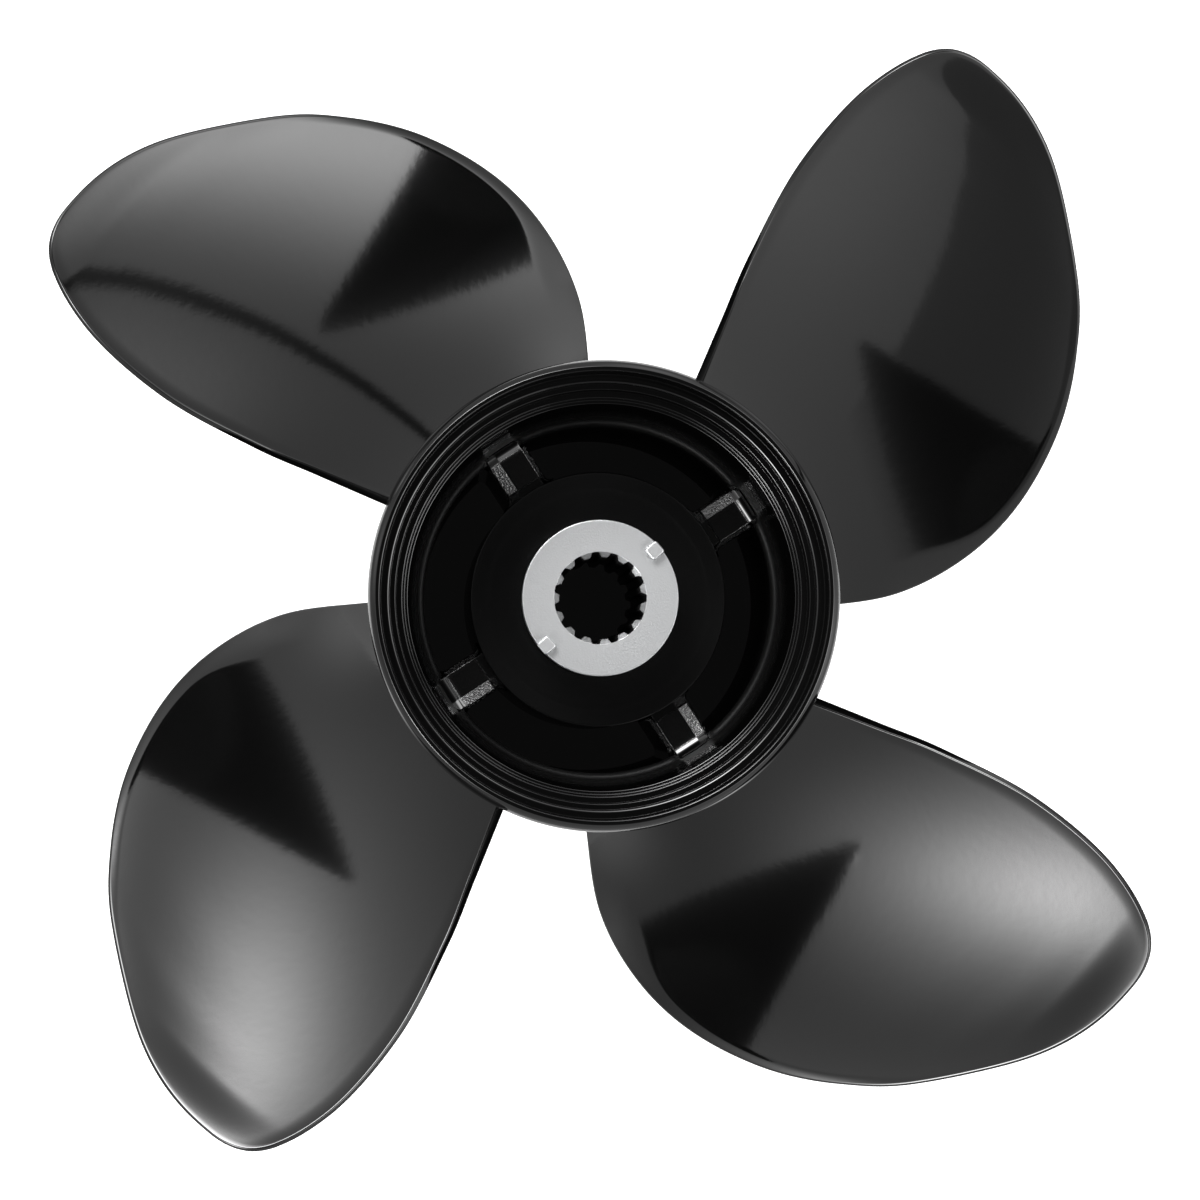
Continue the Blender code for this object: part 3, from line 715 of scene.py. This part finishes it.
def cast_enamel():
    """The same enamel over the sand-cast ends of the ribs: pimples of about 0.5 mm that glint on the slopes,
    while the ground flat top and the outer end are nearly smooth. The chamfer is coloured a pale metal, a
    painted highlight: it is where the surface is near the top, leans by more than 10 degrees and is short of
    the outer end."""
    material, tree, shader = new_material("black_enamel_on_sand_casting", "030303", 0.24)
    place = add_node(tree, "ShaderNodeTexCoord", {}).outputs["Object"]
    sand = add_node(tree, "ShaderNodeTexNoise", {"Vector": place, "Scale": 1 / (0.5 * MM), "Detail": 2.0})
    facing = add_node(tree, "ShaderNodeNewGeometry", {}).outputs["True Normal"]
    level = add_node(tree, "ShaderNodeSeparateXYZ", {"Vector": facing}).outputs["Z"]
    amount = add_node(
        tree, "ShaderNodeMapRange",
        {"Value": level, "From Min": 0.97, "From Max": 0.995, "To Min": 1.0, "To Max": 0.1}).outputs["Result"]
    inner = add_node(
        tree, "ShaderNodeMapRange",
        {"Value": from_axis(tree, place), "From Min": 48.2 * MM, "From Max": 47.8 * MM}).outputs["Result"]
    strength = add_node(tree, "ShaderNodeMath", {0: amount, 1: inner}, operation="MULTIPLY").outputs[0]
    bump = add_node(
        tree, "ShaderNodeBump", {"Height": sand.outputs["Fac"], "Strength": strength, "Distance": 0.6 * MM})
    gloss = add_node(tree, "ShaderNodeMapRange", {"Value": inner, "To Min": 0.06, "To Max": 0.22})
    tree.links.new(gloss.outputs["Result"], shader.inputs["Roughness"])
    height = add_node(tree, "ShaderNodeSeparateXYZ", {"Vector": place}).outputs["Z"]
    near_top = add_node(
        tree, "ShaderNodeMapRange",
        {"Value": height, "From Min": (RIB_TOP - 1.5) * MM, "From Max": (RIB_TOP - 1.2) * MM})
    near_top = near_top.outputs["Result"]
    leaning = add_node(
        tree, "ShaderNodeMapRange", {"Value": level, "From Min": 0.985, "From Max": 0.972}).outputs["Result"]
    # Painted highlight: mask of the chamfer, which turns its colour to a pale metal
    chamfer_highlight = add_node(tree, "ShaderNodeMath", {0: near_top, 1: leaning}, operation="MULTIPLY").outputs[0]
    chamfer_highlight = add_node(tree, "ShaderNodeMath", {0: chamfer_highlight, 1: inner}, operation="MULTIPLY").outputs[0]
    colour = add_node(
        tree, "ShaderNodeMix", {"Factor": chamfer_highlight, 6: linear("030303"), 7: linear("8A8A8A")}, data_type="RGBA")
    tree.links.new(colour.outputs[2], shader.inputs["Base Color"])
    metal = add_node(tree, "ShaderNodeMath", {0: chamfer_highlight, 1: 0.9}, operation="MULTIPLY")
    tree.links.new(metal.outputs[0], shader.inputs["Metallic"])
    tree.links.new(bump.outputs["Normal"], shader.inputs["Normal"])
    return material


def moulded_rubber():
    """Black moulded rubber: matte, with a fine pebbled skin."""
    material, tree, shader = new_material("black_moulded_rubber", "050505", 0.22, ior=1.52)
    place = add_node(tree, "ShaderNodeTexCoord", {}).outputs["Object"]
    skin = add_node(tree, "ShaderNodeTexNoise", {"Vector": place, "Scale": 1 / (0.8 * MM), "Detail": 3.0})
    bump = add_node(
        tree, "ShaderNodeBump", {"Height": skin.outputs["Fac"], "Strength": 0.06, "Distance": 0.1 * MM})
    tree.links.new(bump.outputs["Normal"], shader.inputs["Normal"])
    return material


def blasted_steel():
    """Machined stainless steel, bead blasted: pale and satin, with a fine even grain. In the toothed bore,
    from about 1.5 mm below the face, the colour turns dark grey: painted shade of the deep bore."""
    material, tree, shader = new_material("bead_blasted_steel", "B2B3B4", 0.42, metallic=1.0)
    place = add_node(tree, "ShaderNodeTexCoord", {}).outputs["Object"]
    grain = add_node(tree, "ShaderNodeTexNoise", {"Vector": place, "Scale": 1 / (0.5 * MM), "Detail": 3.0})
    grain = grain.outputs["Fac"]
    tone = add_node(tree, "ShaderNodeMapRange", {"Value": grain, "To Min": 0.36, "To Max": 0.5})
    bump = add_node(tree, "ShaderNodeBump", {"Height": grain, "Strength": 0.4, "Distance": 0.1 * MM})
    height = add_node(tree, "ShaderNodeSeparateXYZ", {"Vector": place}).outputs["Z"]
    top = SLEEVE_TOP * MM
    deep = add_node(
        tree, "ShaderNodeMapRange",
        {"Value": height, "From Min": top - 1.9 * MM, "From Max": top - 1.4 * MM, "To Min": 1.0,
         "To Max": 0.0}).outputs["Result"]
    inside = add_node(
        tree, "ShaderNodeMapRange",
        {"Value": from_axis(tree, place), "From Min": 13.0 * MM, "From Max": 13.1 * MM, "To Min": 1.0,
         "To Max": 0.0}).outputs["Result"]
    # Painted shade: the bore's walls below its top are coloured dark grey
    bore_shade = add_node(tree, "ShaderNodeMath", {0: deep, 1: inside}, operation="MULTIPLY").outputs[0]
    colour = add_node(
        tree, "ShaderNodeMix", {"Factor": bore_shade, 6: linear("B2B3B4"), 7: linear("404040")}, data_type="RGBA")
    tree.links.new(colour.outputs[2], shader.inputs["Base Color"])
    tree.links.new(tone.outputs["Result"], shader.inputs["Roughness"])
    tree.links.new(bump.outputs["Normal"], shader.inputs["Normal"])
    return material


# Stage, camera and lights

def make_floor():
    """Opal light table, pale and lit from below so that it shows no shadows, and a black disc under the hub,
    painted shade that shows through its passages, with a faint glow that paints their dim far side."""
    table, tree, shader = new_material("opal_light_table", "A8A8A8", 0.9)
    shader.inputs["Emission Color"].default_value = (1, 1, 1, 1)
    seen = add_node(tree, "ShaderNodeLightPath", {}).outputs["Is Camera Ray"]
    glow = add_node(tree, "ShaderNodeMapRange", {"Value": seen, "To Min": 0.06, "To Max": 1.0})
    tree.links.new(glow.outputs["Result"], shader.inputs["Emission Strength"])
    # Painted shade: a black disc with a faint glow stands in for the shade inside the hub seen through the
    # passages
    shade_disc, _, shader = new_material("painted_shade_disc", "202020", 0.8)
    shader.inputs["Emission Color"].default_value = (1, 1, 1, 1)
    shader.inputs["Emission Strength"].default_value = 0.003
    for name, radius, height, material in (("floor", 0.27, -0.0002, table), ("shade_disc", 0.0535, 0.0008, shade_disc)):
        mesh = bpy.data.meshes.new(name)
        work = bmesh.new()
        bmesh.ops.create_circle(work, cap_ends=True, segments=96, radius=radius)
        bmesh.ops.translate(work, vec=(0, 0, height), verts=work.verts)
        work.to_mesh(mesh)
        work.free()
        mesh.materials.append(material)
        ground = bpy.data.objects.new(name, mesh)
        bpy.context.scene.collection.objects.link(ground)


def make_camera():
    """The photograph's camera, solved from the blades' outlines: 1.26 m away, and about 2 degrees off the
    shaft."""
    tilt_x, tilt_y = -1.07 * DEG, 1.92 * DEG
    focal_pixels, photo_width = 4634.0, 1200
    turn = Matrix.Rotation(tilt_y, 3, "Y") @ Matrix.Rotation(tilt_x, 3, "X")
    place = turn.transposed() @ Vector((-1.34, -1.23, 1258.0)) + Vector((0, 0, HUB_LENGTH))
    data = bpy.data.cameras.new("camera")
    data.sensor_width = 36.0
    data.lens = focal_pixels / photo_width * data.sensor_width
    data.clip_start, data.clip_end = 0.01, 50.0
    camera = bpy.data.objects.new("camera", data)
    bpy.context.scene.collection.objects.link(camera)
    camera.matrix_world = Matrix.Translation(place * MM) @ turn.transposed().to_4x4()
    bpy.context.scene.camera = camera


# Soft boxes round the table, each with its halo, and three white cards just below its edge, each as compass
# angle from +X, angle down from straight above, half width and brightness
SOFT_BOXES = (
    (115.8, 48.8, 9.1, 35.9), (115.8, 48.8, 22.5, 2.5), (217.2, 55.4, 6.7, 36.3), (217.2, 55.4, 13.4, 6.9),
    (341.6, 50.6, 14.9, 9.5), (341.6, 50.6, 28.2, 0.44), (52.0, 64.3, 9.1, 5.8),
    (76.0, 97.0, 8.0, 1.0), (168.0, 95.5, 7.0, 0.75), (-12.0, 96.5, 8.0, 1.0),
)
WALL_SLOPE = (0.128, -0.138, 0.0)
WALL_LEVEL = 0.557
# Upright edges of the dimmer corner: compass angle, side on which it is dim, half width of the soft edge
CORNER_EDGES = ((-72, 1, 0.008), (-117, -1, 0.05))
CORNER_LEVEL = 0.47
POLE_COMPASS = 29.5
POLE_LEAN = 0.13


def make_studio():
    """Soft light all round in a pale room. The wall's brightness is a constant plus a cosine of the compass
    angle, and each soft box adds a bell-shaped glow, exp of (cosine to its middle - 1) over its width
    squared. Straight above it is dark, one corner of the room is dimmer between two upright edges, and a
    dark pole stands against the wall."""
    world = bpy.data.worlds.new("studio")
    bpy.context.scene.world = world
    world.use_nodes = True
    tree = world.node_tree
    sky = add_node(tree, "ShaderNodeTexCoord", {}).outputs["Generated"]
    wall = add_node(tree, "ShaderNodeVectorMath", {0: sky, 1: WALL_SLOPE}, operation="DOT_PRODUCT")
    glow = add_node(
        tree, "ShaderNodeMath", {0: wall.outputs["Value"], 1: WALL_LEVEL}, operation="ADD").outputs[0]
    for compass, down, width, brightness in SOFT_BOXES:
        out = math.sin(down * DEG)
        middle = (out * math.cos(compass * DEG), out * math.sin(compass * DEG), math.cos(down * DEG))
        narrow = 1 / (width * DEG) ** 2
        near = add_node(tree, "ShaderNodeVectorMath", {0: sky, 1: middle}, operation="DOT_PRODUCT")
        near = near.outputs["Value"]
        power = add_node(tree, "ShaderNodeMath", {0: near, 1: narrow, 2: -narrow}, operation="MULTIPLY_ADD")
        bell = add_node(tree, "ShaderNodeMath", {0: power.outputs[0]}, operation="EXPONENT").outputs[0]
        glow = add_node(
            tree, "ShaderNodeMath", {0: bell, 1: brightness, 2: glow}, operation="MULTIPLY_ADD").outputs[0]
    parts = add_node(tree, "ShaderNodeSeparateXYZ", {"Vector": sky})
    # darker in two steps towards straight above, as angles from it and the brightness inside
    overhead = []
    for far, close, level in ((40, 24, 0.12), (15, 8, 0.4)):
        overhead.append(add_node(
            tree, "ShaderNodeMapRange",
            {"Value": parts.outputs["Z"], "From Min": math.cos(far * DEG), "From Max": math.cos(close * DEG),
             "To Min": 1.0, "To Max": level}, interpolation_type="SMOOTHSTEP").outputs["Result"])
    low = add_node(tree, "ShaderNodeMath", {0: overhead[0], 1: overhead[1]}, operation="MULTIPLY").outputs[0]
    sides = []
    for compass, sign, soft in CORNER_EDGES:
        across = (-sign * math.sin(compass * DEG), sign * math.cos(compass * DEG), 0.0)
        past = add_node(tree, "ShaderNodeVectorMath", {0: sky, 1: across}, operation="DOT_PRODUCT")
        limits = {"Value": past.outputs["Value"], "From Min": -soft, "From Max": soft}
        sides.append(add_node(tree, "ShaderNodeMapRange", limits))
    sides.append(add_node(
        tree, "ShaderNodeMapRange", {"Value": parts.outputs["Z"], "From Min": 0.28, "From Max": 0.16}))
    open_side = sides[0].outputs[0]
    for side in sides[1:]:
        open_side = add_node(
            tree, "ShaderNodeMath", {0: open_side, 1: side.outputs[0]}, operation="MAXIMUM").outputs[0]
    corner = add_node(tree, "ShaderNodeMapRange", {"Value": open_side, "To Min": CORNER_LEVEL, "To Max": 1.0})
    pole_side = (-math.sin(POLE_COMPASS * DEG), math.cos(POLE_COMPASS * DEG), POLE_LEAN)
    beside = add_node(tree, "ShaderNodeVectorMath", {0: sky, 1: pole_side}, operation="DOT_PRODUCT")
    beside = add_node(tree, "ShaderNodeMath", {0: beside.outputs["Value"]}, operation="ABSOLUTE").outputs[0]
    behind = add_node(tree, "ShaderNodeMath", {0: parts.outputs["X"], 1: 0.0}, operation="LESS_THAN")
    beside = add_node(tree, "ShaderNodeMath", {0: beside, 1: behind.outputs[0]}, operation="ADD").outputs[0]
    pole = add_node(
        tree, "ShaderNodeMapRange",
        {"Value": beside, "From Min": 0.013, "From Max": 0.03, "To Min": 0.1, "To Max": 1.0})
    low = add_node(tree, "ShaderNodeMath", {0: low, 1: pole.outputs[0]}, operation="MULTIPLY").outputs[0]
    dark = add_node(tree, "ShaderNodeMath", {0: corner.outputs[0], 1: low}, operation="MULTIPLY").outputs[0]
    shade = add_node(tree, "ShaderNodeMath", {0: glow, 1: dark}, operation="MULTIPLY").outputs[0]
    seen = add_node(tree, "ShaderNodeLightPath", {}).outputs["Is Camera Ray"]
    pale = add_node(tree, "ShaderNodeMix", {"Factor": seen, 2: shade, 3: 1.0}, data_type="FLOAT").outputs[0]
    tree.links.new(pale, tree.nodes["Background"].inputs["Strength"])
    tree.nodes["Background"].inputs["Color"].default_value = (1, 1, 1, 1)


enamel = sprayed_enamel()
rubber = moulded_rubber()
steel = blasted_steel()
make_barrel(enamel)
make_inner_hub(rubber)
make_ribs(cast_enamel())
make_blades(enamel)
make_bush(rubber)
make_sleeve(steel)
make_lugs(steel)
make_floor()
make_camera()
make_studio()
bpy.context.scene.view_settings.view_transform = "Standard"
